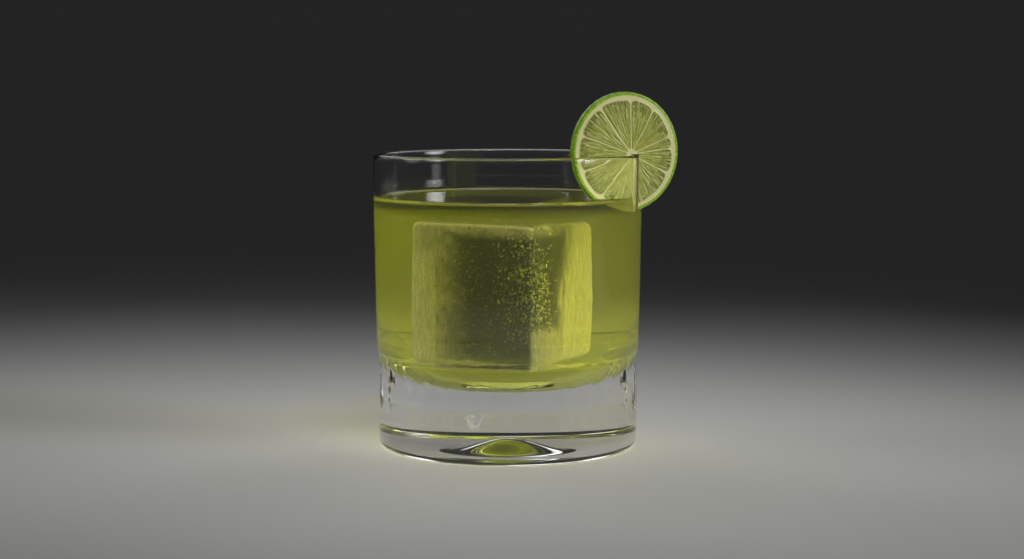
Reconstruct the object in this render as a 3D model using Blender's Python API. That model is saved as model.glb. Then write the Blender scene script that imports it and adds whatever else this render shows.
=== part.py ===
"""A short cocktail in a heavy-based rocks glass, with a lime wheel hung on its rim.

Units are metres and +Z is up. The origin is on the table, under the middle of the whole
object's box, so the glass's own axis stands a little to the left of it. The glass is one
turned solid with a ring of flats ground round its base, the drink fills it to its level,
and the lime wheel straddles the wall through a slot that follows the glass.
"""

import math

import bmesh
import bpy

# The glass
GLASS_HEIGHT = 0.096
RIM_RADIUS = 0.044
TAPER = 0.0017  # how much narrower the foot is than the rim
TAPER_POWER = 1.35  # above 1, the wall is upright at the rim and leans more lower down
RIM_WALL = 0.0017
FLOOR_HEIGHT = 0.0208  # solid glass under the middle of the bowl
BOWL_FILLET = 0.028  # the rounded corner inside, between floor and wall
BOWL_FLOOR_RADIUS = 0.013
HEEL_RADIUS = 0.0027
PUNT_RADIUS = 0.015  # the bell-shaped dimple under the base
PUNT_HEIGHT = 0.0048
AROUND = 84  # sides of the turned glass, three for each flat

# The flats ground round the base
FLATS = 28
FLAT_APOTHEM = 0.04228
FLATS_LOW = 0.0115
FLATS_HIGH = 0.0318
LOW_RUN_OUT = 0.0025  # where the grinding wheel leaves the glass gently
HIGH_RUN_OUT = 0.0006  # and where it leaves a small ledge

# The drink
DRINK_LEVEL = 0.0824
GAP = 0.0003  # clearance between pieces that touch
DRINK_AROUND = 72

# The lime wheel, placed from the glass's axis
LIME_RADIUS = 0.0192
LIME_THICKNESS = 0.0028
LIME_CENTRE = (0.0373, -0.0150, 0.0970)
LIME_TURN = math.radians(25.5)
CORE_OFFSET = (0.0020, -0.0006)  # the lime's core isn't in the middle of the slice
CORE_RADIUS = 0.0011
MEMBRANES_DEG = (7, 22, 60, 91, 128, 161, 197, 230, 268, 334)
PULP_SHARE = 0.85  # of the way from the core to the skin
PULP_BULGE = 0.00025
RIND_ROUNDING = 0.0005
SLOT_CLEARANCE = 0.00035
SKIN_HALF_WIDTH = LIME_THICKNESS / 2 - PULP_BULGE - RIND_ROUNDING

# The object's box runs from the rim on the left to the lime's tip on the right
LIME_REACH = (
    LIME_CENTRE[0]
    + LIME_RADIUS * math.cos(LIME_TURN)
    + SKIN_HALF_WIDTH * math.sin(LIME_TURN)
)
AXIS_X = (RIM_RADIUS - LIME_REACH) / 2

COLOURS = {
    "glass": ((0.90, 0.93, 0.92, 1.0), 0.02),
    "drink": ((0.42, 0.45, 0.06, 1.0), 0.05),
    "lime_wheel": ((0.45, 0.52, 0.12, 1.0), 0.40),
}


def outer_radius(z):
    """Radius of the glass's outside: the rim's, less a taper that grows towards the foot."""
    below_rim = (GLASS_HEIGHT - z) / GLASS_HEIGHT
    return RIM_RADIUS - TAPER * below_rim**TAPER_POWER


def inner_radius(z):
    """Radius of the bowl above its fillet: a straight line up to the rim's inner edge."""
    low = BOWL_FLOOR_RADIUS + BOWL_FILLET
    fillet_top = FLOOR_HEIGHT + BOWL_FILLET
    share = (z - fillet_top) / (GLASS_HEIGHT - fillet_top)
    return low + (RIM_RADIUS - RIM_WALL - low) * share


def arc(centre, radius, start_deg, end_deg, steps):
    """Points (r, z) along an arc, both ends included."""
    turn = math.radians(end_deg - start_deg)
    return [
        (
            centre[0] + radius * math.cos(math.radians(start_deg) + turn * i / steps),
            centre[1] + radius * math.sin(math.radians(start_deg) + turn * i / steps),
        )
        for i in range(steps + 1)
    ]


def bowl_profile(inset, top, wall_rows=3):
    """The bowl's inside, from the middle of its floor up to the height top.

    inset moves the line in from the glass: 0 for the bowl, GAP for the drink."""
    fillet_centre = (BOWL_FLOOR_RADIUS, FLOOR_HEIGHT + BOWL_FILLET)
    points = [(0.0, FLOOR_HEIGHT + inset)]
    points += arc(fillet_centre, BOWL_FILLET - inset, -90, 0, 8)
    low = fillet_centre[1]
    for row in range(1, wall_rows + 1):
        z = low + (top - low) * row / wall_rows
        points.append((inner_radius(z) - inset, z))
    return points


def glass_profile():
    """The whole glass: up the bowl, over the rim, down the outside and under the foot."""
    lip = RIM_WALL / 2
    lip_height = GLASS_HEIGHT - lip
    points = bowl_profile(0.0, lip_height)
    lip_in = points[-1][0]
    lip_out = outer_radius(lip_height)
    lip_radius = (lip_out - lip_in) / 2
    points += arc((lip_in + lip_radius, lip_height), lip_radius, 180, 0, 6)[1:]
    for z in (0.084, 0.070, 0.056, 0.044, 0.034, 0.022, 0.009):
        points.append((outer_radius(z), z))
    foot_radius = outer_radius(HEEL_RADIUS)
    heel_centre = (foot_radius - HEEL_RADIUS, HEEL_RADIUS)
    points += arc(heel_centre, HEEL_RADIUS, 0, -90, 4)
    punt_rows = 7
    for row in range(punt_rows + 1):
        r = PUNT_RADIUS * (1 - row / punt_rows)
        height = PUNT_HEIGHT * (0.5 + 0.5 * math.cos(math.pi * r / PUNT_RADIUS))
        points.append((r, height))
    return points


def flats_profile():
    """A closed loop: its inner side is the ground face of the flats, with both run-outs."""
    outside = RIM_RADIUS + 0.005
    corner = 1 / math.cos(math.pi / FLATS)  # from a flat's middle to the ridge beside it
    ridge = FLAT_APOTHEM * corner
    rows = 3
    loop = [(outside, FLATS_HIGH), (outside, FLATS_LOW)]
    for row in range(rows + 1):
        share = row / rows
        rise = (outer_radius(FLATS_LOW) * corner - ridge) * (1 - share) ** 2
        loop.append((ridge + rise, FLATS_LOW + LOW_RUN_OUT * share))
    loop.append((ridge, FLATS_HIGH - HIGH_RUN_OUT))
    loop.append((outer_radius(FLATS_HIGH) * corner, FLATS_HIGH))
    return loop


def wall_slot_profile():
    """A closed loop round the wall with clearance, from well under the lime to over the rim."""
    bottom = 0.070
    top = GLASS_HEIGHT + SLOT_CLEARANCE
    return [
        (outer_radius(GLASS_HEIGHT) + SLOT_CLEARANCE, top),
        (outer_radius(bottom) + SLOT_CLEARANCE, bottom),
        (inner_radius(bottom) - SLOT_CLEARANCE, bottom),
        (inner_radius(GLASS_HEIGHT) - SLOT_CLEARANCE, top),
    ]


def clear_scene():
    for obj in list(bpy.data.objects):
        bpy.data.objects.remove(obj, do_unlink=True)


def material(name):
    colour, roughness = COLOURS[name]
    made = bpy.data.materials.new(name)
    made.use_nodes = True
    shader = made.node_tree.nodes["Principled BSDF"]
    shader.inputs["Base Color"].default_value = colour
    shader.inputs["Roughness"].default_value = roughness
    shader.inputs["Metallic"].default_value = 0.0
    return made


def linked(name, mesh, parent):
    obj = bpy.data.objects.new(name, mesh)
    bpy.context.scene.collection.objects.link(obj)
    obj.parent = parent
    if name in COLOURS:
        mesh.materials.append(material(name))
    return obj


def turned(name, profile, steps, parent, closed=False, smooth=True):
    """Turns a profile of (r, z) points round the glass's axis with a Screw modifier."""
    mesh = bpy.data.meshes.new(name)
    edges = [(i, i + 1) for i in range(len(profile) - 1)]
    if closed:
        edges.append((len(profile) - 1, 0))
    mesh.from_pydata([(r, 0.0, z) for r, z in profile], edges, [])
    obj = linked(name, mesh, parent)
    screw = obj.modifiers.new("Turn", "SCREW")
    screw.angle = math.tau
    screw.steps = steps
    screw.render_steps = steps
    screw.use_merge_vertices = True
    screw.merge_threshold = 0.00001
    screw.use_smooth_shade = smooth
    return obj


def cut(obj, cutter, name):
    """Subtracts cutter from obj, and keeps it out of the model."""
    boolean = obj.modifiers.new(name, "BOOLEAN")
    boolean.operation = "DIFFERENCE"
    boolean.solver = "EXACT"
    boolean.object = cutter
    cutter.hide_render = True
    cutter.display_type = "WIRE"


def pulp_relief(share, angle_share):
    """How proud a point of the cut face is: pulp swells between its membranes."""
    across = math.sin(math.pi * angle_share) ** 0.5
    along = max(0.0, math.sin(math.pi * min(share / PULP_SHARE, 1.0))) ** 0.5
    return PULP_BULGE * across * along


def lime_columns():
    """(angle, share of the way across its segment) of each spoke of the wheel's grid."""
    spokes = []
    shares = (0.0, 0.10, 0.30, 0.50, 0.70, 0.90)
    for i, start in enumerate(MEMBRANES_DEG):
        end = MEMBRANES_DEG[(i + 1) % len(MEMBRANES_DEG)]
        width = (end - start) % 360
        spokes += [(math.radians(start + width * s), s) for s in shares]
    return spokes


def lime_mesh():
    """The wheel in its own frame: X outwards from the glass, Y up, Z towards the front."""
    half = LIME_THICKNESS / 2
    spokes = lime_columns()
    shares = (0.0, 0.10, 0.28, 0.46, 0.62, 0.76, PULP_SHARE, 0.90, 1.0)
    face_radius = LIME_RADIUS - RIND_ROUNDING
    work = bmesh.new()

    def face_ring(share, side):
        ring = []
        for angle, angle_share in spokes:
            edge = (face_radius * math.cos(angle), face_radius * math.sin(angle))
            core = (
                CORE_OFFSET[0] + CORE_RADIUS * math.cos(angle),
                CORE_OFFSET[1] + CORE_RADIUS * math.sin(angle),
            )
            x, y = (core[i] + (edge[i] - core[i]) * share for i in (0, 1))
            height = half - PULP_BULGE + pulp_relief(share, angle_share)
            ring.append(work.verts.new((x, y, side * height)))
        return ring

    def skin_ring(radius, z):
        return [
            work.verts.new((radius * math.cos(a), radius * math.sin(a), z))
            for a, _ in spokes
        ]

    rings = [face_ring(share, 1) for share in shares]
    rings += [skin_ring(LIME_RADIUS, side * SKIN_HALF_WIDTH) for side in (1, -1)]
    rings += [face_ring(share, -1) for share in reversed(shares)]
    count = len(spokes)
    for upper, lower in zip(rings, rings[1:]):
        for i in range(count):
            j = (i + 1) % count
            work.faces.new((upper[i], lower[i], lower[j], upper[j]))
    work.faces.new(rings[0])
    work.faces.new(reversed(rings[-1]))
    bmesh.ops.recalc_face_normals(work, faces=work.faces)
    mesh = bpy.data.meshes.new("lime_wheel")
    work.to_mesh(mesh)
    work.free()
    mesh.shade_smooth()
    mesh.set_sharp_from_angle(angle=math.radians(40))
    return mesh


def place_as_lime(obj):
    obj.location = LIME_CENTRE
    obj.rotation_euler = (math.pi / 2, 0.0, LIME_TURN)


def lime_clearance(parent):
    """A plain disc a little larger than the wheel, for the notch it makes in the drink."""
    work = bmesh.new()
    bmesh.ops.create_cone(
        work,
        cap_ends=True,
        segments=96,
        radius1=LIME_RADIUS + SLOT_CLEARANCE,
        radius2=LIME_RADIUS + SLOT_CLEARANCE,
        depth=LIME_THICKNESS + 2 * SLOT_CLEARANCE,
    )
    mesh = bpy.data.meshes.new("lime_clearance")
    work.to_mesh(mesh)
    work.free()
    disc = linked("lime_clearance", mesh, parent)
    place_as_lime(disc)
    return disc


def main():
    clear_scene()
    axis = bpy.data.objects.new("glass_axis", None)
    bpy.context.scene.collection.objects.link(axis)
    axis.location = (AXIS_X, 0.0, 0.0)

    glass = turned("glass", glass_profile(), AROUND, axis)
    flats = turned("flats_cutter", flats_profile(), FLATS, axis, closed=True, smooth=False)
    cut(glass, flats, "Flats")

    level = [(0.0, DRINK_LEVEL)]
    outline = bowl_profile(GAP, DRINK_LEVEL, wall_rows=2)
    drink = turned("drink", level + outline[::-1], DRINK_AROUND, axis)
    cut(drink, lime_clearance(axis), "Lime notch")

    lime = linked("lime_wheel", lime_mesh(), axis)
    place_as_lime(lime)
    slot = turned("wall_slot_cutter", wall_slot_profile(), AROUND, axis, closed=True)
    cut(lime, slot, "Slot for the rim")


main()
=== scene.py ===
# %% [markdown]
# # A cocktail in a rocks glass
#
# The object is a heavy-based glass, filled with a cloudy yellow-green drink, with a block of
# ice sunk in it and a lime wheel hung on the rim. The frame that this file loads is the plain
# model: three solids at their real size. Every cell below either measures that frame or
# makes one piece on top of it, so nothing here decides how large the object is.

# %% Load the frame
import math

import bpy
import numpy as np
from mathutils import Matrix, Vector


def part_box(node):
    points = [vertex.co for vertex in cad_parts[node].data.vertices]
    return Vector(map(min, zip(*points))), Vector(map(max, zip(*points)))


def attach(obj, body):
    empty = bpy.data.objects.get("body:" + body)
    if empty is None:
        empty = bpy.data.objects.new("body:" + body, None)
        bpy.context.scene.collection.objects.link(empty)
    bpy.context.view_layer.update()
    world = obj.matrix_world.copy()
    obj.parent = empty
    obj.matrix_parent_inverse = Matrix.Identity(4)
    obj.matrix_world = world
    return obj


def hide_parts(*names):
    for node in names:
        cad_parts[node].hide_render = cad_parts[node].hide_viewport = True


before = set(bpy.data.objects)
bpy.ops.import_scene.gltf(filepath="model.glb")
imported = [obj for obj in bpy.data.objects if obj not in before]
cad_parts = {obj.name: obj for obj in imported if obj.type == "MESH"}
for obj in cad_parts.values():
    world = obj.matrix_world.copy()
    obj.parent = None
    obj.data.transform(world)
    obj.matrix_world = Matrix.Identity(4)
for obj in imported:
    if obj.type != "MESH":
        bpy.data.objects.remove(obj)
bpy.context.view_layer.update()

MM = 0.001

# %% [markdown]
# ## Measure the frame
#
# A turned glass is described by its axis and a profile. The axis and the rim's radius are read
# from the glass's own box and the drink's level from the drink's box, so the fine pieces land
# where the plain ones are. The glass's height is the plain model's own driving size.

# %% Read the driving sizes
glass_low, glass_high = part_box("glass")
AXIS_X = (glass_low.x + glass_high.x) / 2
RIM_RADIUS = (glass_high.x - glass_low.x) / 2
GLASS_HEIGHT = 96 * MM
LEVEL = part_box("drink")[1].z
print("axis x %.2f, rim radius %.2f mm" % (AXIS_X / MM, RIM_RADIUS / MM))
print("glass height %.1f, level %.2f mm" % (GLASS_HEIGHT / MM, LEVEL / MM))

# %% [markdown]
# ## The camera and the studio
#
# A camera close to the table and a little above it sees the rim as a thin ellipse. Its focal
# length in pixels, its distance, its height and its tilt fix the whole perspective, so they
# are given as plain numbers. Clear things have hardly any colour of their own and are drawn by
# what they bend and reflect. So the studio is a pale sheet, lit near the glass and falling into
# shade behind, with soft light panels out of view: their reflections draw the edges.

# %% Camera
IMAGE_WIDTH = 1024
FOCAL_PIXELS = 2060
CAMERA_DISTANCE = 0.674
CAMERA_HEIGHT = 0.121
CAMERA_TILT = math.radians(5.625)
AXIS_LEFT_OF_CENTRE = 1.4 * MM

camera_data = bpy.data.cameras.new("camera")
camera_data.sensor_width = 36
camera_data.lens = camera_data.sensor_width * FOCAL_PIXELS / IMAGE_WIDTH
camera = bpy.data.objects.new("camera", camera_data)
camera.location = (AXIS_X + AXIS_LEFT_OF_CENTRE, -CAMERA_DISTANCE, CAMERA_HEIGHT)
camera.rotation_euler = (math.pi / 2 - CAMERA_TILT, 0, 0)
bpy.context.scene.collection.objects.link(camera)
bpy.context.scene.camera = camera
print("lens %.1f mm" % camera_data.lens)

# %% [markdown]
# ## Mesh helpers
#
# Meshes are made in one way throughout: a surface is a grid of points, rows by columns, worked
# out as whole arrays. One helper turns a grid into quads and closes its two ends with a fan
# round a pole, and another carries a profile round the glass's axis.

# %% Mesh helpers
def add_mesh(name, points, faces, smooth=True):
    """Makes an object from an array of points and lists of faces, and links it to the scene."""
    mesh = bpy.data.meshes.new(name)
    mesh.from_pydata(points.tolist(), [], [list(face) for face in faces])
    mesh.validate()
    mesh.polygons.foreach_set("use_smooth", np.full(len(mesh.polygons), smooth))
    piece = bpy.data.objects.new(name, mesh)
    bpy.context.scene.collection.objects.link(piece)
    return piece


def wrapped_quads(rows, columns):
    """Quads between neighbouring rows, the last column joined to the first."""
    j, i = np.meshgrid(np.arange(rows - 1), np.arange(columns), indexing="ij")
    k = (i + 1) % columns
    corners = (j * columns + i, (j + 1) * columns + i, (j + 1) * columns + k, j * columns + k)
    return np.stack(corners, axis=-1).reshape(-1, 4)


def closed_faces(rows, columns):
    """The grid's quads, and a fan at each end round the two pole points that follow the grid."""
    first_pole, last_pole = rows * columns, rows * columns + 1
    i = np.arange(columns)
    k = (i + 1) % columns
    base = (rows - 1) * columns
    first_fan = [(first_pole, a, b) for a, b in zip(i, k)]
    last_fan = [(base + b, base + a, last_pole) for a, b in zip(i, k)]
    return wrapped_quads(rows, columns).tolist() + first_fan + last_fan


def turned(radius, height, angle):
    """Points and faces of a closed turned body.

    radius and height are rows by columns, from the first pole outwards and on down to the
    last pole. A point is (axis + radius cos angle, radius sin angle, height)."""
    x = AXIS_X + radius * np.cos(angle)
    y = radius * np.sin(angle)
    ring_points = np.stack([x, y, height], axis=-1).reshape(-1, 3)
    poles = np.array([[AXIS_X, 0, height[0].mean()], [AXIS_X, 0, height[-1].mean()]])
    return np.concatenate([ring_points, poles]), closed_faces(*radius.shape)

# %% [markdown]
# Soft borders are S-curves throughout. A mask is one number a point, kept in the mesh under a
# name, by which a material can later tell where it is. Each mesh is measured when it is made.

# %% Soft borders, masks and measures
def rise(value, low, high):
    """0 at low and before it, 1 at high and past it, and an S-curve between them.

    With share the way from low to high, it is share^2 (3 - 2 share). Low may be the larger of
    the two: then it falls as the value grows."""
    share = np.clip((value - low) / (high - low), 0, 1)
    return share * share * (3 - 2 * share)


def add_mask(piece, name, values):
    """Keeps one number a point in the mesh, under a name."""
    attribute = piece.data.attributes.new(name, "FLOAT", "POINT")
    attribute.data.foreach_set("value", values.astype(np.float32))


def points_of(piece):
    """The places of a piece's points, in metres."""
    places = np.empty(len(piece.data.vertices) * 3)
    piece.data.vertices.foreach_get("co", places)
    return places.reshape(-1, 3)


def report(piece):
    """Prints a piece's triangles and its box in millimetres."""
    places = points_of(piece) / MM
    triangles = sum(len(polygon.vertices) - 2 for polygon in piece.data.polygons)
    print(piece.name, triangles, "triangles, box", places.min(0).round(1), places.max(0).round(1))

# %% [markdown]
# ## The sheet and the light panels
#
# One long sheet is floor and backdrop at once, so that no line parts them. The panels are
# area lamps with a narrow spread, like softboxes with a grid in front: they light the glass
# and leave the backdrop in the shade. Two shine from behind and make the drink glow, and a
# long one high behind them draws the rim. One on each side draws the edges, one from above
# lights the floor near the glass, and one high in front lights the lime and the ice's front.

# %% Floor and light panels
def sweep_sheet():
    """A sheet that runs back along the floor, then bends up through a quarter circle."""
    near_end, flat_end, bend, top, half_width = -2.4, 1.6, 0.5, 2.4, 2.6
    turn = np.linspace(0, math.pi / 2, 24)
    y = np.concatenate([[near_end, 0.0], flat_end + bend * np.sin(turn), [flat_end + bend]])
    z = np.concatenate([[0.0, 0.0], bend * (1 - np.cos(turn)), [top]])
    x = np.array([-half_width, half_width])
    points = np.stack(np.broadcast_arrays(x[None, :], y[:, None], z[:, None]), axis=-1)
    rows = len(y)
    faces = [(2 * j, 2 * j + 1, 2 * j + 3, 2 * j + 2) for j in range(rows - 1)]
    return add_mesh("studio_sheet", points.reshape(-1, 3), faces)


def light_panel(name, place, aim, size, power, spread):
    """A soft rectangular light at place, facing aim; size is its width and height.

    power is in watts, and spread is the cone that a grid in front lets through, in degrees."""
    data = bpy.data.lights.new(name, "AREA")
    data.shape = "RECTANGLE"
    data.size, data.size_y = size
    data.energy = power
    data.spread = math.radians(spread)
    lamp = bpy.data.objects.new(name, data)
    lamp.location = place
    direction = np.array(aim) - np.array(place)
    yaw = math.atan2(-direction[0], direction[1])
    lean = math.atan2(math.hypot(direction[0], direction[1]), -direction[2])
    lamp.rotation_euler = (lean, 0, yaw)
    lamp.visible_camera = False
    bpy.context.scene.collection.objects.link(lamp)


sheet = sweep_sheet()
GLASS_MIDDLE = (AXIS_X, 0, 0.055)
LAMPS = (
    ("overhead", (0.02, -0.08, 0.62), (0.0, -0.07, 0.0), (0.32, 0.32), 0.040, 60),
    ("back_left", (-0.36, 0.43, 0.38), GLASS_MIDDLE, (0.34, 0.40), 0.044, 40),
    ("back_right", (0.36, 0.43, 0.38), GLASS_MIDDLE, (0.34, 0.40), 0.042, 40),
    ("side_left", (-0.62, -0.02, 0.19), GLASS_MIDDLE, (0.34, 0.38), 0.056, 30),
    ("side_right", (0.58, -0.20, 0.19), GLASS_MIDDLE, (0.34, 0.38), 0.160, 30),
    ("back_edge", (-0.10, 0.70, 0.42), (0.0, 0.0, 0.10), (0.90, 0.22), 0.030, 30),
    ("front_key", (0.26, -0.50, 0.72), (0.01, 0, 0.06), (0.34, 0.34), 0.075, 34),
)
for lamp_values in LAMPS:
    light_panel(*lamp_values)
print(len(LAMPS), "light panels,", round(sum(lamp_values[4] for lamp_values in LAMPS), 3), "watts in all")

# %% [markdown]
# What the panels don't reach is nearly black. A ray needs many turns to get through clear
# pieces that lie one in another, so the renderer is allowed more bounces than usual.

# %% Dark room and bounces
DARK_ROOM = (0.022, 0.022, 0.024, 1)
world = bpy.data.worlds.new("studio_air")
world.use_nodes = True
world.node_tree.nodes["Background"].inputs["Color"].default_value = DARK_ROOM
bpy.context.scene.world = world
cycles = bpy.context.scene.cycles
cycles.max_bounces = 28
cycles.transmission_bounces = 26
cycles.transparent_max_bounces = 40
cycles.glossy_bounces = 6
cycles.diffuse_bounces = 4
cycles.volume_bounces = 10
bpy.context.scene.view_settings.view_transform = "Standard"
print("bounces:", cycles.max_bounces, "in all,", cycles.volume_bounces, "in the murk")

# %% [markdown]
# ## The glass
#
# The real glass is pressed: a bowl that rounds into a very thick base, with a ring of narrow
# flats round the base and a dimple under it. The plain model has all of that, but with few
# sides, and light bent through a coarse wall shows every facet. So the glass is turned again
# with the same profile and many more columns.

# %% The two sides of the wall
TAPER, TAPER_POWER = 1.7 * MM, 1.35
RIM_WALL = 1.7 * MM
FLOOR_HEIGHT = 20.8 * MM
BOWL_FILLET = 28 * MM
BOWL_FLOOR_RADIUS = 13 * MM


def outer_radius(z):
    """The wall's outside: the rim's radius less a taper that grows towards the foot."""
    return RIM_RADIUS - TAPER * ((GLASS_HEIGHT - z) / GLASS_HEIGHT) ** TAPER_POWER


def inner_radius(z):
    """The bowl's wall above its fillet: a straight line to the rim's inner edge."""
    low = BOWL_FLOOR_RADIUS + BOWL_FILLET
    fillet_top = FLOOR_HEIGHT + BOWL_FILLET
    return low + (RIM_RADIUS - RIM_WALL - low) * (z - fillet_top) / (GLASS_HEIGHT - fillet_top)


WALL_LEAN = math.atan((inner_radius(GLASS_HEIGHT) - inner_radius(0)) / GLASS_HEIGHT)
print("the bowl's wall leans out by %.2f degrees" % math.degrees(WALL_LEAN))

# %% [markdown]
# The bowl's rounding could be a plain arc, but where an arc meets a straight wall its bend
# stops at once, and liquid in the bowl shows that as a hard line. So the bend fades out.

# %% The bowl's line
EASING_LENGTH = 12 * MM


def bowl_curve(steps=1200):
    """The bowl's rounding as a curve whose bend fades out instead of stopping.

    Its direction is the integral of its bend: 1 / fillet radius, then falling to nothing
    over the easing length, until it leans as the wall does. The place is the integral of
    the direction's cosine and sine."""
    eased = EASING_LENGTH / (2 * BOWL_FILLET)
    round_length = (math.pi / 2 - WALL_LEAN - eased) * BOWL_FILLET
    s = np.linspace(0, round_length + EASING_LENGTH, steps)
    bend = np.clip((s[-1] - s) / EASING_LENGTH, 0, 1) / BOWL_FILLET
    direction = np.concatenate([[0], np.cumsum((bend[1:] + bend[:-1]) / 2 * np.diff(s))])
    middle = (direction[1:] + direction[:-1]) / 2
    r = np.concatenate([[0], np.cumsum(np.cos(middle) * np.diff(s))])
    z = FLOOR_HEIGHT + np.concatenate([[0], np.cumsum(np.sin(middle) * np.diff(s))])
    r += inner_radius(z[-1]) - r[-1]
    return r, z, direction


def bowl_line(grow, top, wall_rows):
    """The bowl's inside from near the middle of its floor up to the height top.

    The line is moved grow into the glass, along (sin, -cos) of its own direction."""
    curve_r, curve_z, direction = bowl_curve()
    pick = np.linspace(0, len(curve_r) - 1, 40).astype(int)
    fillet_r = curve_r[pick] + grow * np.sin(direction[pick])
    fillet_z = curve_z[pick] - grow * np.cos(direction[pick])
    floor_r = np.linspace(curve_r[0] / 8, curve_r[0], 8)[:-1]
    wall_z = np.linspace(fillet_z[-1], top, wall_rows + 1)[1:]
    r = np.concatenate([floor_r, fillet_r, inner_radius(wall_z) + grow])
    z = np.concatenate([np.full(len(floor_r), FLOOR_HEIGHT - grow), fillet_z, wall_z])
    return r, z

# %% [markdown]
# The flats could be cut by a ring of boxes. Here the columns crowd towards the ridges between
# the flats and the rows follow the flats' ends, so both stay crisp without any cutting. A
# flat's foot runs out in a long S-curve, because at a sharp end the glass shows a dark blob.

# %% The columns, and the flats round the base
FLATS = 28
FLAT_APOTHEM = 42.28 * MM
FLATS_LOW, FLATS_HIGH = 11.5 * MM, 31.8 * MM
LOW_RUN_OUT = 6.0 * MM
LEDGE = 0.5 * MM
END_DROP = 2.4 * MM
TOP_ARCH = 0.35 * MM

flat_steps = np.array([-1, -0.96, -0.86, -0.7, -0.5, -0.25, 0, 0.25, 0.5, 0.7, 0.86, 0.96])
half_flat = math.pi / FLATS
flat_middles = (2 * np.arange(FLATS) + 1) * half_flat
column_angle = (flat_middles[:, None] + flat_steps[None, :] * half_flat).ravel()
column_across = np.tile(flat_steps, FLATS)
print(len(column_angle), "columns round the glass")


def flats_band():
    """Rows of (radius, height) down the wall through the flats.

    A flat is the plane at FLAT_APOTHEM: radius = apothem / cos(angle from its middle). Its top
    is a small ledge and its foot a run-out, where the radius goes from the wall's to the
    plane's and back in an S-curve. Both ends are bowed, so a row's height depends on the
    column."""
    plane = FLAT_APOTHEM / np.cos(column_across * half_flat)
    top = FLATS_HIGH - TOP_ARCH * column_across**2
    foot = FLATS_LOW + END_DROP * column_across**2
    rows = []
    for share in np.linspace(0, 1, 5):
        z = top - LEDGE * share
        ease = rise(share, 0, 1)
        rows.append((outer_radius(z) * (1 - ease) + plane * ease, z))
    for share in np.linspace(0, 1, 8)[1:]:
        z = (top - LEDGE) * (1 - share) + (foot + LOW_RUN_OUT) * share
        rows.append((plane, z))
    for share in np.linspace(0, 1, 14)[1:]:
        z = foot + LOW_RUN_OUT * (1 - share)
        ease = rise(share, 0, 1)
        rows.append((plane + (outer_radius(z) - plane) * ease, z))
    return np.array([r for r, _ in rows]), np.array([z for _, z in rows])

# %% [markdown]
# The glass stands on a flat ring. Inside it the foot is pushed up into a dimple, which
# works as a small lens and shows the drink above it upside down.

# %% Heel, foot and dimple
HEEL_RADIUS = 2.7 * MM
PUNT_RADIUS, PUNT_HEIGHT = 15 * MM, 4.8 * MM


def foot_line():
    """Round the heel by a quarter circle, across the flat ring, then up a bell-shaped dimple.

    The bell is half a cosine wave: height = punt height (1 + cos(pi r / punt radius)) / 2."""
    turn = np.linspace(0, math.pi / 2, 12)
    heel_r = outer_radius(HEEL_RADIUS) - HEEL_RADIUS * (1 - np.cos(turn))
    heel_z = HEEL_RADIUS * (1 - np.sin(turn))
    ring_r = np.linspace(heel_r[-1], PUNT_RADIUS, 8)[1:-1]
    punt_r = np.linspace(PUNT_RADIUS, PUNT_RADIUS / 30, 30)
    punt_z = PUNT_HEIGHT * (1 + np.cos(math.pi * punt_r / PUNT_RADIUS)) / 2
    r = np.concatenate([heel_r, ring_r, punt_r])
    z = np.concatenate([heel_z, np.zeros(len(ring_r)), punt_z])
    return r, z


HEEL_INNER = outer_radius(HEEL_RADIUS) - HEEL_RADIUS
print("flat ring from %.1f to %.1f mm across" % (2 * PUNT_RADIUS / MM, 2 * HEEL_INNER / MM))

# %% [markdown]
# The parts of the profile are joined in the order that a finger would follow: up the bowl's
# inside, over the lip, down the wall and the flats, round the heel and up the dimple.

# %% Make the glass
ABOVE_FLATS, BELOW_FLATS, ABOVE_HEEL = 0.4 * MM, 0.6 * MM, 0.4 * MM


def glass_surface():
    """Bowl, lip, wall, flats and foot as one grid of rows by columns."""
    lip = RIM_WALL / 2
    lip_z = GLASS_HEIGHT - lip
    bowl_r, bowl_z = bowl_line(0, lip_z, 40)
    lip_in, lip_out = bowl_r[-1], outer_radius(lip_z)
    turn = np.linspace(math.pi, 0, 14)[1:]
    lip_r = (lip_in + lip_out) / 2 + (lip_out - lip_in) / 2 * np.cos(turn)
    lip_height = lip_z + lip * np.sin(turn)
    wall_z = np.linspace(lip_z, FLATS_HIGH + ABOVE_FLATS, 46)[1:]
    upper_r = np.concatenate([bowl_r, lip_r, outer_radius(wall_z)])
    upper_z = np.concatenate([bowl_z, lip_height, wall_z])
    skirt_z = np.linspace(FLATS_LOW - BELOW_FLATS, HEEL_RADIUS + ABOVE_HEEL, 7)
    foot_r, foot_z = foot_line()
    lower_r = np.concatenate([outer_radius(skirt_z), foot_r])
    lower_z = np.concatenate([skirt_z, foot_z])
    spread = np.ones(len(column_angle))
    band_r, band_z = flats_band()
    r = np.concatenate([upper_r[:, None] * spread, band_r, lower_r[:, None] * spread])
    z = np.concatenate([upper_z[:, None] * spread, band_z, lower_z[:, None] * spread])
    return r, z


glass = add_mesh("rocks_glass", *turned(*glass_surface(), column_angle))
report(glass)

# %% [markdown]
# ## The ice
#
# A large clear block, cast in a mould: a box with melted, rounded edges and faces that are no
# longer quite flat. It is a rounded box (each point of a cube's surface is pushed out from
# an inner, smaller box by the edge radius) with a gentle swell from a few sine waves. It
# stands turned, so that one upright edge faces the front, and leans a little. It is wholly
# sunk, so it is made only here.

# %% A rounded box
ICE_SIDE, ICE_TALL = 36.5 * MM, 47 * MM
ICE_EDGE = 2.8 * MM
CROWDING = 1.25
print("block of %.1f x %.1f x %.1f mm" % (ICE_SIDE / MM, ICE_SIDE / MM, ICE_TALL / MM))


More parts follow.
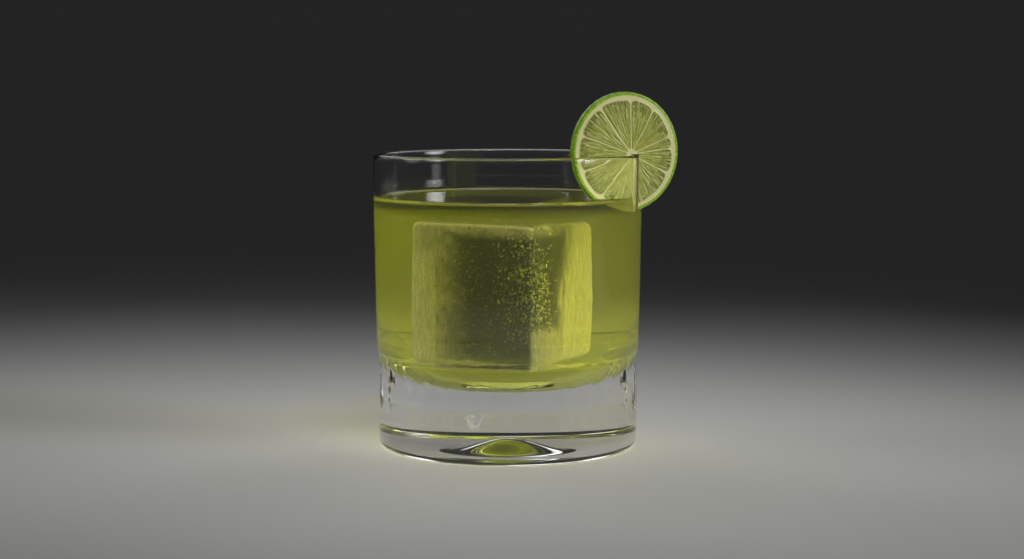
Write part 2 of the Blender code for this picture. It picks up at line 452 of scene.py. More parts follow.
def cube_grid(steps):
    """Points of a cube from -1 to 1, on each side's own grid, and its quads facing out.

    The grid's lines crowd towards the edges by sin(CROWDING t) / sin(CROWDING). Equal points
    of neighbouring sides are merged, so the surface is closed."""
    spread = np.sin(np.linspace(-1, 1, steps) * CROWDING) / math.sin(CROWDING)
    u, v = np.meshgrid(spread, spread, indexing="ij")
    one = np.ones_like(u)
    sides = [(one, u, v), (-one, v, u), (v, one, u), (u, -one, v), (u, v, one), (v, u, -one)]
    points = np.concatenate([np.stack(side, axis=-1).reshape(-1, 3) for side in sides])
    j, i = np.meshgrid(np.arange(steps - 1), np.arange(steps - 1), indexing="ij")
    a = (j * steps + i).ravel()
    quad = np.stack([a, a + steps, a + steps + 1, a + 1], axis=-1)
    faces = np.concatenate([quad + n * steps * steps for n in range(6)])
    _, first, merged = np.unique(points.round(7), axis=0, return_index=True, return_inverse=True)
    return points[first], merged.ravel()[faces]

# %% [markdown]
# Melting leaves no face quite flat. The swell is a mean of sine waves that run in random
# directions through space. It depends on the place alone, so the block, its frost and the
# hollow in the drink all get the same one, however fine their grids are.

# %% Melt and place the box
MELT_SWELL, MELT_RIPPLE = 1.1 * MM, 0.3 * MM
ICE_FOOT = 28.0 * MM
ICE_MIDDLE = (-3.2 * MM, -4.0 * MM)
ICE_TURN = math.radians(-20.5)
TURN_COS, TURN_SIN = math.cos(ICE_TURN), math.sin(ICE_TURN)
ICE_LEAN = math.radians(1.8)


def swell(p, seed, waves=14, low=60, high=260):
    """A smooth random field over points: the mean of some sine waves of random direction."""
    draw = np.random.default_rng(seed)
    direction = draw.normal(size=(waves, 3))
    direction /= np.linalg.norm(direction, axis=1, keepdims=True)
    frequency = draw.uniform(low, high, waves)
    phase = draw.uniform(0, math.tau, waves)
    return np.sin(p @ (direction * frequency[:, None]).T + phase).mean(axis=1)


def ice_surface(steps, grow):
    """The block's points, its faces, and each point's place on the cube from -1 to 1.

    A point of the inner box is pushed out by the edge radius, the melt and grow."""
    cube, faces = cube_grid(steps)
    half = np.array([ICE_SIDE / 2, ICE_SIDE / 2, ICE_TALL / 2])
    inner = np.clip(cube * half, -(half - ICE_EDGE), half - ICE_EDGE)
    out = cube * half - inner
    out /= np.linalg.norm(out, axis=1, keepdims=True)
    box = inner + out * ICE_EDGE
    melt = MELT_SWELL * swell(box, 5) + MELT_RIPPLE * swell(box, 6, 20, 400, 1100)
    box = box + out * (melt + grow)[:, None]
    x = AXIS_X + ICE_MIDDLE[0] + TURN_COS * box[:, 0] - TURN_SIN * box[:, 1]
    y = ICE_MIDDLE[1] + TURN_SIN * box[:, 0] + TURN_COS * box[:, 1]
    z = ICE_FOOT + ICE_TALL / 2 + box[:, 2] - math.tan(ICE_LEAN) * box[:, 0]
    return np.stack([x, y, z], axis=-1), faces, cube


ice = add_mesh("ice_block", *ice_surface(84, 0.0)[:2])
report(ice)

# %% [markdown]
# ## The drink
#
# Liquid takes the bowl's shape, so its outside is the bowl's own line, moved a little into
# the glass: an air gap there would shine like a mirror. Its top is level, but climbs the glass
# and the lime in a narrow curve, the meniscus, which catches the light as a bright line. To
# climb the lime, it has to know where that stands.

# %% Where the lime stands
LIME_CENTRE = (37.3 * MM, -15.0 * MM, 97.0 * MM)
LIME_RADIUS, LIME_THICKNESS = 19.2 * MM, 2.8 * MM
LIME_TURN = math.radians(25.5)


def plan_distance_to_lime(x, y, z):
    """How far points at about height z are from the wheel's flat cut, seen from above."""
    along_x, along_y = math.cos(LIME_TURN), math.sin(LIME_TURN)
    dx, dy = x - AXIS_X - LIME_CENTRE[0], y - LIME_CENTRE[1]
    along = dx * along_x + dy * along_y
    aside = dx * along_y - dy * along_x
    half_chord = math.sqrt(LIME_RADIUS**2 - (LIME_CENTRE[2] - z) ** 2)
    return np.hypot(
        np.maximum(np.abs(along) - half_chord, 0),
        np.maximum(np.abs(aside) - LIME_THICKNESS / 2, 0),
    )

# %% [markdown]
# The drink's outside is one grid of rings: over the open surface, then down the bowl. The
# rings lie close together at the wall, where a coarse grid would show facets in the steep curve.

# %% The drink's outside
WALL_OVERLAP = 0.12 * MM
MENISCUS_HEIGHT, MENISCUS_REACH = 0.8 * MM, 0.7 * MM
LIME_SHARE = 0.8
DRINK_COLUMNS = 400
TOP_SHADE_FROM, TOP_SHADE_TO = 0.8 * MM, 2.4 * MM
BACK_SHADE_SHARE = 0.8


def drink_surface():
    """Top from the middle out to the wall, then down the bowl's line to its floor.

    The level is raised near glass and lime by height * exp(-distance / reach). The rings
    crowd towards the wall, where that rise is steep. The last value is the mask of painted
    shade on the open surface: all of the top but its rim, and at the back most of the rim too."""
    angle = np.linspace(0, math.tau, DRINK_COLUMNS, endpoint=False)
    bowl_r, bowl_z = bowl_line(WALL_OVERLAP, LEVEL, 22)
    edge = bowl_r[-1]
    from_wall = np.concatenate(
        [np.linspace(0.12, 1.2, 8), np.linspace(1.5, 4, 8), np.linspace(4.7, 21, 25)]
    )
    top_r = np.concatenate([np.linspace(2, 20, 8) * MM, (edge - from_wall * MM)[::-1]])
    r = np.concatenate([top_r, bowl_r[::-1]])[:, None] * np.ones(DRINK_COLUMNS)
    flat = LEVEL - MENISCUS_HEIGHT
    x, y = AXIS_X + r * np.cos(angle), r * np.sin(angle)
    near_wall = np.exp(-(edge - r) / MENISCUS_REACH)
    near_lime = LIME_SHARE * np.exp(-plan_distance_to_lime(x, y, flat) / MENISCUS_REACH)
    top_z = flat + MENISCUS_HEIGHT * np.minimum(near_wall + near_lime, 1)
    rows = len(top_r)
    bottom_z = bowl_z[::-1][:, None] * np.ones(DRINK_COLUMNS)
    painted_shade_top = np.zeros(r.shape)
    back_half = BACK_SHADE_SHARE * rise(np.sin(angle), 0.0, 0.4)
    painted_shade_top[:rows] = np.maximum(rise(edge - r[:rows], TOP_SHADE_FROM, TOP_SHADE_TO), back_half)
    return r, np.concatenate([top_z[:rows], bottom_z]), angle, painted_shade_top

# %% [markdown]
# The ice needs room. The drink has a hollow of the block's shape, a hair smaller, so that the
# ice fills it with no air between, and the drink's colour doesn't run through the ice. The
# hollow is simply a second closed surface in the same mesh, with its faces turned round.
#
# Two masks on the points say where shade is painted on the drink: on the open surface, and as a
# deeper tint at the bottom. The material uses them later.

# %% Make the drink
ICE_OVERLAP = 0.08 * MM
LOW_SHADE_TOP, LOW_SHADE_FADE = 36 * MM, 8 * MM
drink_r, drink_z, drink_angle, painted_shade_top = drink_surface()
drink_points, drink_faces = turned(drink_r, drink_z, drink_angle)
hollow_points, hollow_faces, _ = ice_surface(56, -ICE_OVERLAP)
hollow_faces = hollow_faces[:, ::-1] + len(drink_points)
drink = add_mesh(
    "mixed_drink",
    np.concatenate([drink_points, hollow_points]),
    drink_faces + hollow_faces.tolist(),
)
# Painted shade on the open surface: the mask of where the skin's tint is darkened.
top_pole = painted_shade_top.size
painted_shade_top_values = np.zeros(len(drink.data.vertices))
painted_shade_top_values[:top_pole] = painted_shade_top.ravel()
painted_shade_top_values[top_pole] = 1
# Painted shade low in the bowl: the mask of a deeper, darker tint.
painted_shade_low_values = rise(LOW_SHADE_TOP - drink_points[:, 2], 0, LOW_SHADE_FADE)
painted_shade_low_values = np.append(painted_shade_low_values, np.zeros(len(hollow_points)))
add_mask(drink, "painted_shade_top", painted_shade_top_values)
add_mask(drink, "painted_shade_low", painted_shade_low_values)
report(drink)

# %% [markdown]
# ## What clouds the drink
#
# Lime juice has fine pulp in it that scatters light, so the drink glows where light passes
# through much of it. That is a second body just inside the drink. It ends a little under the
# surface, because the pulp sinks, and it leaves out the water that melts off the ice, which
# hangs round the block as a clear zone, widest in front. Without that zone the ice would be
# lost in the glow.

# %% Make the murk
CLEARER_TOP = 5.5 * MM
MURK_GAP, ICE_GAP = 0.3 * MM, 0.1 * MM
MURK_COLUMNS = 200
MELT_FRONT, MELT_BACK = 8.0 * MM, 3.0 * MM
MELT_LOW, MELT_FULL = 30 * MM, 42 * MM


def melt_water_surface():
    """The block's shape, pushed out sideways into the zone of clear melt water round it.

    The push is wider in front than behind. It is none at the block's two sides and at its
    foot, where the bowl is near."""
    points, faces, _ = ice_surface(40, ICE_GAP)
    aside = points[:, :2] - np.array([AXIS_X + ICE_MIDDLE[0], ICE_MIDDLE[1]])
    aside /= np.linalg.norm(aside, axis=1, keepdims=True)
    width = MELT_BACK + (MELT_FRONT - MELT_BACK) * rise(-aside[:, 1], -0.4, 0.5)
    width = width * (1 - rise(np.abs(aside[:, 0]), 0.72, 0.95))
    width = width * rise(points[:, 2], MELT_LOW, MELT_FULL)
    points[:, :2] += aside * width[:, None]
    return points, faces


def murk_surface():
    """A body of the drink's shape a little way inside it."""
    angle = np.linspace(0, math.tau, MURK_COLUMNS, endpoint=False)
    spread = np.ones(MURK_COLUMNS)
    bowl_r, bowl_z = bowl_line(-MURK_GAP, LEVEL - CLEARER_TOP, 22)
    top_r = np.linspace(2 * MM, bowl_r[-1], 20)[:-1]
    top_z = np.full(len(top_r), bowl_z[-1])
    r = np.concatenate([top_r, bowl_r[::-1]])[:, None] * spread
    z = np.concatenate([top_z, bowl_z[::-1]])[:, None] * spread
    return r, z, angle


murk_points, murk_faces = turned(*murk_surface())
room_points, room_faces = melt_water_surface()
room_faces = room_faces[:, ::-1] + len(murk_points)
murk = add_mesh(
    "drink_murk",
    np.concatenate([murk_points, room_points]),
    murk_faces + room_faces.tolist(),
)
report(murk)

# %% [markdown]
# ## Bubbles in the ice
#
# The last water to freeze traps its air, so the block holds a cloud of small bubbles, dense
# at its core and thin at its edge. Real ones are hollows. In the darkened ice a hollow would
# hardly show, so each is a pale ball instead, whose colour paints the glint that a real bubble
# catches. One coarse ball is copied to many places in a single array: places, sizes and a
# slight upright stretch are drawn from a seeded rule.

# %% A cloud of small balls
def ball(rings=3, columns=7):
    """A unit ball of 42 triangles, coarse because it is repeated so often.

    A point is (sin p cos a, sin p sin a, cos p), where p runs from pole to pole and a round
    the rings. Every quad is cut in two, so that all faces fit one array."""
    p = np.linspace(0, math.pi, rings + 2)[1:-1, None]
    a = math.pi / 2 + np.linspace(0, math.tau, columns, endpoint=False)[None, :]
    x, y, z = np.broadcast_arrays(np.sin(p) * np.cos(a), np.sin(p) * np.sin(a), np.cos(p))
    ring_points = np.stack([x, y, z], axis=-1).reshape(-1, 3)
    faces = closed_faces(rings, columns)
    quads, fans = np.array(faces[:-2 * columns]), np.array(faces[-2 * columns:])
    triangles = np.concatenate([quads[:, [0, 1, 2]], quads[:, [0, 2, 3]], fans])
    return np.concatenate([ring_points, [[0, 0, 1], [0, 0, -1]]]), triangles


def scattered_balls(centres, sizes, stretch):
    """Copies of one ball: point = centre + size * unit point, stretched along Z."""
    points, faces = ball()
    shape = np.stack([sizes, sizes, sizes * stretch], axis=-1)
    all_points = centres[:, None, :] + points[None] * shape[:, None, :]
    offsets = np.arange(len(centres))[:, None, None] * len(points)
    return all_points.reshape(-1, 3), (faces[None] + offsets).reshape(-1, 3)


def in_block(across, deep, tall):
    """A place in the ice block, in millimetres along its own three directions."""
    x = AXIS_X + ICE_MIDDLE[0] + (TURN_COS * across - TURN_SIN * deep) * MM
    y = ICE_MIDDLE[1] + (TURN_SIN * across + TURN_COS * deep) * MM
    return np.stack([x, y, ICE_FOOT + ICE_TALL / 2 + tall * MM], axis=-1)


def inside_block(places, half):
    """True for places nearer than half to both of the block's upright middle planes."""
    dx, dy = places[:, 0] - AXIS_X - ICE_MIDDLE[0], places[:, 1] - ICE_MIDDLE[1]
    across = TURN_COS * dx + TURN_SIN * dy
    deep = TURN_COS * dy - TURN_SIN * dx
    return (np.abs(across) < half) & (np.abs(deep) < half)

# %% [markdown]
# There are four groups. Two are clouds, a dense one behind the front edge and a thin one to
# its left. The third clings to the right face, where the clouds behind it hardly show. The
# fourth is the chips along the left upright edge. Sizes are drawn so that small ones are
# common and large ones rare: the exponential of a normal draw.

# %% Groups of bubbles
draw = np.random.default_rng(11)


def drawn_sizes(count, middle, spread, smallest, largest):
    """Sizes: e to the power of a normal draw, in millimetres, kept between two ends."""
    return np.exp(draw.normal(middle, spread, count)).clip(smallest, largest) * MM


def cloud(count, middle, spread, reach, size_middle, smallest, largest):
    """Places, sizes and stretches of one cloud, thinning out from its middle.

    A place further out than reach times the spread is brought halfway back to the middle."""
    spread = np.array(spread) * MM
    offset = draw.normal(size=(count, 3)) * spread
    offset = np.where(np.abs(offset) > reach * spread, offset * 0.5, offset)
    sizes = drawn_sizes(count, size_middle, 0.42, smallest, largest)
    return in_block(*middle) + offset, sizes, draw.uniform(1.0, 1.6, count)


def clinging(count=260):
    """Bubbles in a layer at the right face."""
    across = draw.normal(18.35, 0.2, count)
    deep = draw.normal(-12.0, 4.0, count)
    tall = draw.normal(2, 8.5, count)
    sizes = drawn_sizes(count, -1.9, 0.45, 0.06, 0.28)
    return in_block(across, deep, tall), sizes, draw.uniform(1.0, 1.5, count)


def chips(count=90):
    """Small chips down the left upright edge."""
    tall = draw.uniform(-6, 20, count)
    across = -16.4 + draw.normal(0, 0.3, count)
    deep = -15.8 + draw.normal(0, 0.4, count)
    sizes = drawn_sizes(count, -1.4, 0.4, 0.1, 0.45)
    return in_block(across, deep, tall), sizes, draw.uniform(1.0, 2.4, count)

# %% [markdown]
# Random places fall anywhere, so those of the clouds and the chips that would come near the
# block's upright faces are dropped. The layer at the right face belongs there and stays whole.

# %% Make the bubbles
BUBBLE_WALL = 17.3 * MM
dense_cloud = cloud(720, (13.0, -11.5, 3.0), (4.8, 4.0, 10.0), 1.9, -1.62, 0.09, 0.36)
thin_cloud = cloud(560, (3.0, -13.0, -2.0), (7.5, 2.4, 11.0), 1.7, -2.2, 0.06, 0.18)
face_bubbles = clinging()
edge_chips = chips()
kept = [np.concatenate(parts) for parts in zip(dense_cloud, thin_cloud, edge_chips)]
inside = inside_block(kept[0], BUBBLE_WALL)
kept = [np.concatenate([part[inside], more]) for part, more in zip(kept, face_bubbles)]
print(len(kept[0]), "bubbles")

bubbles = add_mesh("ice_bubbles", *scattered_balls(*kept))
report(bubbles)

# %% [markdown]
# ## Frost on the ice
#
# The rubbed sides and the white edges are a layer of tiny cracks that scatters light. Rough
# ice wouldn't do, because ice and drink bend light nearly alike and roughness between them
# hardly shows. So the frost is a skin of its own, a hair outside the block. A mask on its
# points says how much frost there is, and the material turns that into see-through.
#
# The mask is worked out on the cube that the block was made from, where across runs from -1
# on the left side to 1 on the right, deep from -1 in front and tall from -1 at the foot.
# Every part of it is a strength from 0 to 1, times S-curves that say where it begins and
# ends. Random fields are added to the places, which makes those borders ragged.

# %% How much frost there is
FROST_GAP = 0.05 * MM
ON_SIDE = (0.90, 0.985)


def uneven_fields(cube):
    """Three random fields: broken, from 0.10 to 1, and fuzzy and ragged, both about 0."""
    broken = np.clip(0.55 + 2.4 * swell(cube, 31, 24, 4, 30), 0.10, 1)
    fuzzy = 0.15 * swell(cube, 33, 30, 10, 60)
    ragged = fuzzy + 0.35 * swell(cube * [1, 1, 0.3], 34, 30, 20, 70)
    return broken, fuzzy, ragged


def side_frost(cube):
    """The left side; the right side from part of its way back, and its foot; the two ends."""
    across, deep, tall = cube.T
    _, fuzzy, ragged = uneven_fields(cube)
    left = 0.80 * rise(-across, *ON_SIDE)
    upper = rise(tall, -0.1, 0.7)
    back_part = 0.05 + 0.95 * rise(deep + ragged, -0.36 + 0.32 * upper, 0.14 + 0.38 * upper)
    foot_part = (0.50 + 0.25 * rise(deep, -0.9, 0)) * rise(-tall + fuzzy, 0.32, 0.50)
    right = rise(across, *ON_SIDE) * np.maximum(back_part, foot_part)
    ends = 0.18 * rise(np.abs(tall), *ON_SIDE)
    return np.max([left, right, ends], axis=0)


def edge_frost(cube):
    """The edges, broken in places; the upright one in front is nearly clear.

    A point is near an edge where the second largest of its three places is near 1."""
    across, deep, tall = cube.T
    broken, _, _ = uneven_fields(cube)
    second_place = np.sort(np.abs(cube), axis=1)[:, 1]
    edge = 0.72 * rise(second_place, 0.90, 0.975) * broken
    clear_part = rise(across - deep, 1.80, 1.95) * (1 - rise(np.abs(tall), 0.85, 0.95))
    return edge * (1 - 0.80 * clear_part)


def front_frost(cube):
    """A haze and a strip at the left, a band under the top edge, and a line at each end."""
    across, deep, tall = cube.T
    broken, fuzzy, _ = uneven_fields(cube)
    front = rise(-deep, *ON_SIDE)
    haze = 0.66 * front * np.clip((-across + 2 * fuzzy) / 0.6, 0, 1) ** 1.3
    strip = 0.95 * front * rise(-across, 0.59, 0.61) * (1 - 0.40 * rise(tall, 0.35, 0.8))
    either = np.maximum(front, 0.6 * rise(across, *ON_SIDE))
    under_top = 0.70 * either * rise(tall + 0.4 * fuzzy, 0.76, 0.92) * (0.6 + 0.4 * broken)
    top_line = 0.95 * rise(-deep, 0.91, 0.95) * rise(tall, 0.945, 0.975)
    foot_line = 0.85 * rise(-deep, 0.90, 0.95) * rise(-tall + 0.3 * fuzzy, 0.885, 0.915)
    return np.max([haze, strip, under_top, top_line, foot_line], axis=0)

# %% [markdown]
# The skin is the block's own surface again, a hair larger and on a finer grid. Where two parts
# overlap, the stronger one counts, so that they don't add up to a hard patch.

# %% Make the frost
frost_points, frost_faces, frost_cube = ice_surface(112, FROST_GAP)
frost = add_mesh("ice_frost", frost_points, frost_faces)
frost_parts = [part(frost_cube) for part in (side_frost, edge_frost, front_frost)]
add_mask(frost, "frost", np.max(frost_parts, axis=0))
print("mean frost of sides, edges and front:", [round(float(part.mean()), 3) for part in frost_parts])
report(frost)

# %% [markdown]
# ## The lime wheel
#
# A cross-section of a lime: a thin green skin, a ring of cream pith, and wedges of pulp parted
# by fine membranes that meet at a core a little off the middle. All of it is one closed disc
# on a polar grid about the core. Distances to the membranes, to the pith and to each juice
# sac give both the relief and the masks that the material paints by.

# %% Lime values
CORE = np.array([2.0, -0.6]) * MM
CORE_RADIUS = 1.5 * MM
MEMBRANES = np.radians([7, 22, 60, 91, 128, 161, 197, 230, 268, 334])
SKIN_THICKNESS, PITH_THICKNESS = 1.15 * MM, 1.25 * MM
SKIN_ROUND, FACE_INSET = 0.35 * MM, 0.25 * MM
PULP_STEP, SAC_RELIEF, PITH_STEP = 0.06 * MM, 0.15 * MM, 0.03 * MM
HALF_MEMBRANE, MEMBRANE_WAVE, WAVE_LENGTH = 0.06 * MM, 0.006, 2.1 * MM
OUTER_CORNER, INNER_CORNER, PULP_EDGE = 1.7 * MM, 0.8 * MM, 0.22 * MM
LIME_COLUMNS, LIME_ROWS = 480, 74
LIME_ANGLES = np.linspace(0, math.tau, LIME_COLUMNS, endpoint=False)
wedge_widths = np.degrees(np.diff([*MEMBRANES, MEMBRANES[0] + math.tau]))
print(len(MEMBRANES), "wedges of", wedge_widths.round(), "degrees")


def segment_share(angle):
    """For each direction: its wedge's number, how far across it lies, and the wedge's width.

    How far across is 0 at one membrane and 1 at the next, and the width is an angle."""
    turn = (angle - MEMBRANES[0]) % math.tau
    starts = MEMBRANES - MEMBRANES[0]
    widths = np.diff(np.append(starts, math.tau))
    wedge = np.searchsorted(starts, turn, side="right") - 1
    return wedge, (turn - starts[wedge]) / widths[wedge], widths[wedge]

# %% [markdown]
# Each wedge is packed with juice sacs, long drops that point at the core. They could be
# hundreds of separate bodies. On a face that is cut flat, only their outlines and a low
# relief are left, so they are drawn into the face's height, ring by ring.

# %% Juice sacs
SAC_RINGS = (
    (18.6, 84, 5.0),
    (17.0, 76, 5.4),
    (15.3, 70, 5.6),
    (13.2, 62, 5.6),
    (10.8, 56, 5.2),
    (8.4, 48, 4.6),
    (6.0, 40, 3.8),
    (3.9, 30, 2.6),
)
SAC_WIDTH = 0.62
print(sum(count for _, count, _ in SAC_RINGS), "juice sacs in", len(SAC_RINGS), "rings on each face")


def sac_pattern(radius, angle, wedge, seed):
    """Height, edge and tone of the juice sacs at each point.

    A sac is a drop: a round head at its outer end and a tail that narrows to a point
    towards the core. Its height is 1 - (distance from its spine / its width there)^2, and
    where drops overlap, the higher one shows. A ring is its radius, its number of drops and
    their length, in millimetres, and the rings run from the pith inwards. The drops' width
    is a share of their spacing."""
    draw = np.random.default_rng(seed)
    height = np.zeros(radius.shape)
    second = np.zeros(radius.shape)
    tone = np.zeros(radius.shape)
    for ring, count, length in SAC_RINGS:
        width = math.tau * ring / count * SAC_WIDTH
        places = (np.arange(count) + draw.uniform(-0.3, 0.3, count)) / count * math.tau
        for a in places:
            r = ring + draw.uniform(-0.8, 0.8)
            w = width * draw.uniform(0.8, 1.25)
            shade = draw.uniform(0, 1)
            lift = draw.uniform(0.75, 1.0)
            own_wedge = segment_share(np.array([a]))[0][0]
            near = (np.abs(radius - (r - length / 2)) < length) & (wedge == own_wedge)
            gap = (angle[near] - a + math.pi) % math.tau - math.pi
            along = radius[near] - r
            aside = gap * radius[near]
            tail = np.clip(1 + along / length, 0.05, 1) ** 0.7
            head = np.hypot(np.maximum(along, 0) * 0.8, aside) / (w * tail)
            value = lift * (1 - np.minimum(head, 1) ** 2) * (along > -length)
            higher = value > height[near]
            second[near] = np.where(higher, height[near], np.maximum(second[near], value))
            tone[near] = np.where(higher, shade, tone[near])
            height[near] = np.maximum(height[near], value)
    return height, second, tone

# %% [markdown]
# A wedge's corners are round. The distance to its outline is the smallest of the distances to
# its membranes, to the pith and to the core, and rounding that minimum rounds the corners.

# %% The wheel's face
def rounded_minimum(a, b, width):
    """The smaller of a and b, with the corner where they meet rounded off over width."""
    overlap = np.maximum(width - np.abs(a - b), 0) / width
    return np.minimum(a, b) - overlap**2 * width / 4


def lime_face(seed):
    """Grid, height and masks of one cut face, in its own plane, from the core to the skin.

    A row is a share of the way from the core to the edge. Pulp stands a step above the
    membranes, and the sacs in it swell a little more."""
    angle = LIME_ANGLES[None, :]
    share = np.linspace(0, 1, LIME_ROWS)[1:, None] ** 0.85
    edge = (LIME_RADIUS - SKIN_ROUND) * np.stack([np.cos(angle), np.sin(angle)], axis=-1)
    xy = CORE + (edge - CORE) * share[..., None]
    away = np.linalg.norm(xy - CORE, axis=-1)
    heading = np.arctan2(xy[..., 1] - CORE[1], xy[..., 0] - CORE[0])
    wobble = MEMBRANE_WAVE * np.sin(away / WAVE_LENGTH + 3 * heading)
    wedge, way, width = segment_share(heading + wobble)
    from_membrane = np.minimum(way, 1 - way) * width * away
    from_skin = LIME_RADIUS - np.linalg.norm(xy, axis=-1)
    uneven = 0.12 * MM * np.sin(5 * heading + seed) + 0.08 * MM * np.sin(11 * heading + 2 * seed)
    inside_pith = from_skin - SKIN_THICKNESS - PITH_THICKNESS + uneven
    from_core = away - CORE_RADIUS * (1 + 0.15 * np.sin(4 * heading))
    bound = rounded_minimum(from_membrane - HALF_MEMBRANE, inside_pith, OUTER_CORNER)
    bound = rounded_minimum(bound, from_core, INNER_CORNER)
    pulp = rise(bound, 0.0, PULP_EDGE)
    sac, under, tone = sac_pattern(away / MM, heading % math.tau, wedge, seed)
    seam = (1 - rise(sac - under, 0.0, 0.22)) * rise(sac, -0.01, 0.05)
    skin = rise(-from_skin, -SKIN_THICKNESS - 0.12 * MM, -SKIN_THICKNESS + 0.18 * MM)
    outer_end = rise(inside_pith, 6.5 * MM, 1.0 * MM) * rise(sac, 0.25, 0.75)
    height = pulp * (PULP_STEP + SAC_RELIEF * sac) + PITH_STEP * (1 - pulp)
    near_core = 1 - rise(away, 2.5 * MM, 8.5 * MM)
    masks = {"pulp": pulp, "seam": seam * pulp, "tone": tone * pulp, "skin": skin,
             "outer_end": outer_end * pulp, "near_core": near_core * pulp}
    return xy, height, masks

# %% [markdown]
# Two cut faces, drawn from different seeds, are joined by the skin's rounded rim into one
# closed mesh. Then the disc is turned upright and set over the rim.

# %% Make the whole wheel
def lime_wheel():
    """Front face, rounded skin and back face as one closed grid, placed on the rim."""
    top = LIME_THICKNESS / 2 - FACE_INSET
    fronts, backs = lime_face(21), lime_face(22)
    turn = np.linspace(0, math.pi, 9)[1:-1]
    skin_r = LIME_RADIUS - SKIN_ROUND + SKIN_ROUND * np.sin(turn)
    skin_z = top * np.cos(turn)
    pores = 0.05 * MM * np.sin(37 * LIME_ANGLES[None, :] + 5 * turn[:, None])
    ring = (skin_r[:, None] + pores * np.sin(turn)[:, None])[..., None]
    ring = ring * np.stack([np.cos(LIME_ANGLES), np.sin(LIME_ANGLES)], axis=-1)
    rows = [np.concatenate([fronts[0], (top + fronts[1])[..., None]], axis=-1)]
    ring_z = np.broadcast_to(skin_z[:, None, None], ring.shape[:2] + (1,))
    rows.append(np.concatenate([ring, ring_z], axis=-1))
    rows.append(np.concatenate([backs[0], (-top - backs[1])[..., None]], axis=-1)[::-1])
    grid = np.concatenate(rows)
    masks = {}
    for name in fronts[2]:
        middle = np.full(ring.shape[:2], 1.0 if name == "skin" else 0.0)
        masks[name] = np.concatenate([fronts[2][name], middle, backs[2][name][::-1]]).ravel()
    points = np.concatenate([grid.reshape(-1, 3), [[*CORE, top], [*CORE, -top]]])
    masks = {name: np.append(values, [0.0, 0.0]) for name, values in masks.items()}
    return points, closed_faces(grid.shape[0], LIME_COLUMNS), masks


def place_on_rim(points):
    """Own plane to the frame: X runs outwards along the wheel, Y up, Z towards the front."""
    out_x, out_y = math.cos(LIME_TURN), math.sin(LIME_TURN)
    x = AXIS_X + LIME_CENTRE[0] + points[:, 0] * out_x + points[:, 2] * out_y
    y = LIME_CENTRE[1] + points[:, 0] * out_y - points[:, 2] * out_x
    return np.stack([x, y, LIME_CENTRE[2] + points[:, 1]], axis=-1)


lime_points, lime_faces, lime_masks = lime_wheel()
lime_points = place_on_rim(lime_points)
lime = add_mesh("lime_slice", lime_points, lime_faces)
for mask_name, mask_values in lime_masks.items():
    add_mask(lime, mask_name, mask_values)
report(lime)

# %% [markdown]
# The wheel hangs on the rim by a slit. A cut that follows a curved wall can't be part of a
# polar grid, so it is a Boolean: a curved slab, a copy of the wall with a little room round
# it, is taken out of the disc. The result is then kept as a plain mesh. One more mask marks
# the part that hangs in the drink.

# %% Cut the slit for the wall
SLIT_ROOM_OUT, SLIT_ROOM_IN = 0.3 * MM, 0.06 * MM
SLIT_LOW = 72 * MM
SLIT_ANGLES = np.radians(np.linspace(-50, 20, 40))


def wall_slab():
    """A closed piece of the wall with room on both sides, from SLIT_LOW to over the rim.

    Its four long edges are rows of points at one radius and height each."""
    top = GLASS_HEIGHT + SLIT_ROOM_OUT
    outside = [outer_radius(GLASS_HEIGHT) + SLIT_ROOM_OUT, outer_radius(SLIT_LOW) + SLIT_ROOM_OUT]
    inside = [inner_radius(SLIT_LOW) - SLIT_ROOM_IN, inner_radius(GLASS_HEIGHT) - SLIT_ROOM_IN]
    r = np.array(outside + inside)[None, :]
    a = SLIT_ANGLES[:, None]
    x, y = AXIS_X + r * np.cos(a), r * np.sin(a)
    z = np.broadcast_to([top, SLIT_LOW, SLIT_LOW, top], x.shape)
    points = np.stack([x, y, z], axis=-1).reshape(-1, 3)
    faces = [(j * 4 + k, j * 4 + (k + 1) % 4, j * 4 + 4 + (k + 1) % 4, j * 4 + 4 + k)
             for j in range(len(a) - 1) for k in range(4)]
    last = (len(a) - 1) * 4
    faces += [(3, 2, 1, 0), (last, last + 1, last + 2, last + 3)]
    return add_mesh("wall_slab", points, faces, smooth=False)


slab = wall_slab()
cut = lime.modifiers.new("slit", "BOOLEAN")
cut.operation = "DIFFERENCE"
cut.solver = "EXACT"
cut.object = slab
evaluated = lime.evaluated_get(bpy.context.evaluated_depsgraph_get())
slit_mesh = bpy.data.meshes.new_from_object(evaluated)
lime.modifiers.clear()
lime.data = slit_mesh
bpy.data.objects.remove(slab, do_unlink=True)

# The mask below marks the sunk part, which the lime's material paints in shade.
SUNK_SHADE_FADE, SUNK_SHADE_MARGIN = 1.2 * MM, 0.4 * MM
places = points_of(lime)
from_axis = np.hypot(places[:, 0] - AXIS_X, places[:, 1])
inside_bowl = from_axis < inner_radius(places[:, 2]) + SUNK_SHADE_MARGIN
add_mask(lime, "sunk", rise(LEVEL - places[:, 2], 0.0, SUNK_SHADE_FADE) * inside_bowl)
report(lime)

# %% [markdown]
# ## Materials
#
# A material is a Principled shader with its values, and for what varies over the surface a few
# nodes before it. The masks made with the meshes tell the nodes where each thing is. A value
# that is the same all over the surface is set on the shader's own socket. Colours are linear
# red, green and blue and a 1 for opaque, as Blender's own sockets keep them.

# %% Material helpers
def new_material(name):
    """A material with its node tree and its Principled shader."""
    made = bpy.data.materials.new(name)
    made.use_nodes = True
    return made, made.node_tree, made.node_tree.nodes["Principled BSDF"]


def set_values(shader, **values):
    """Plain numbers and colours on the shader's own sockets; a name's _ stands for a space."""
    for name, value in values.items():
        shader.inputs[name.replace("_", " ")].default_value = value


